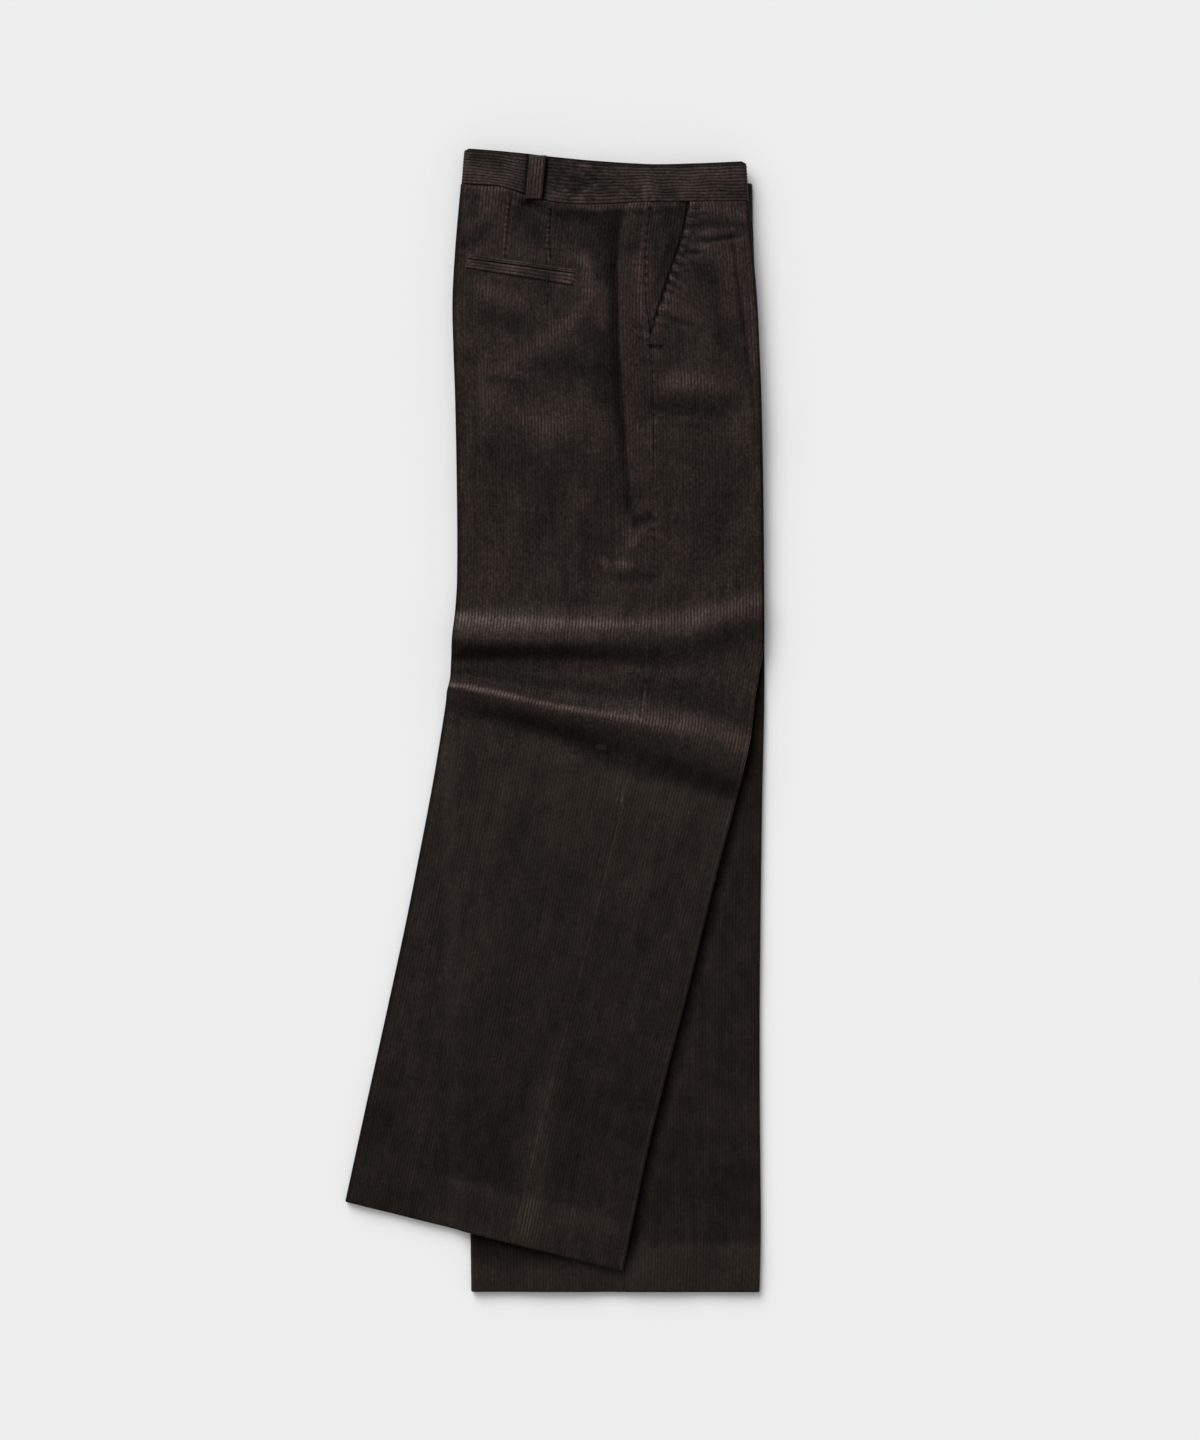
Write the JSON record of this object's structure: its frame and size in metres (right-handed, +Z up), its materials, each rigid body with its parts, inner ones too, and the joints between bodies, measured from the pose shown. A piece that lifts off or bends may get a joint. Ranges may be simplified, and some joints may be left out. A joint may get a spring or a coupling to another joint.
{
  "type": "corduroy trousers",
  "caption": "Corduroy trousers laid flat on a surface, folded along the leg creases with the legs stacked, the upper leg swept aside over ridges at the knee.",
  "frame": {"origin": "on the surface below the middle of the garment's box", "axes": "+Z up from the surface, +Y towards the waist, +X to the right seen from above"},
  "size_m": [0.4084, 1.1116, 0.0262],
  "materials": {
    "corduroy": "cotton corduroy, eight wales to the inch, along the piece",
    "corduroy_crosswise": "cotton corduroy, wales across the garment"
  },
  "bodies": {
    "root": {"right_back_panel": "corduroy", "right_front_panel": "corduroy", "left_back_panel": "corduroy", "left_front_panel": "corduroy", "right_pocket_side_piece": "corduroy", "waistband_right": "corduroy_crosswise", "waistband_left": "corduroy_crosswise", "belt_loop": "corduroy", "back_pocket_upper_welt": "corduroy_crosswise", "back_pocket_lower_welt": "corduroy_crosswise", "hidden_layers": "corduroy"}
  },
  "joints": []
}
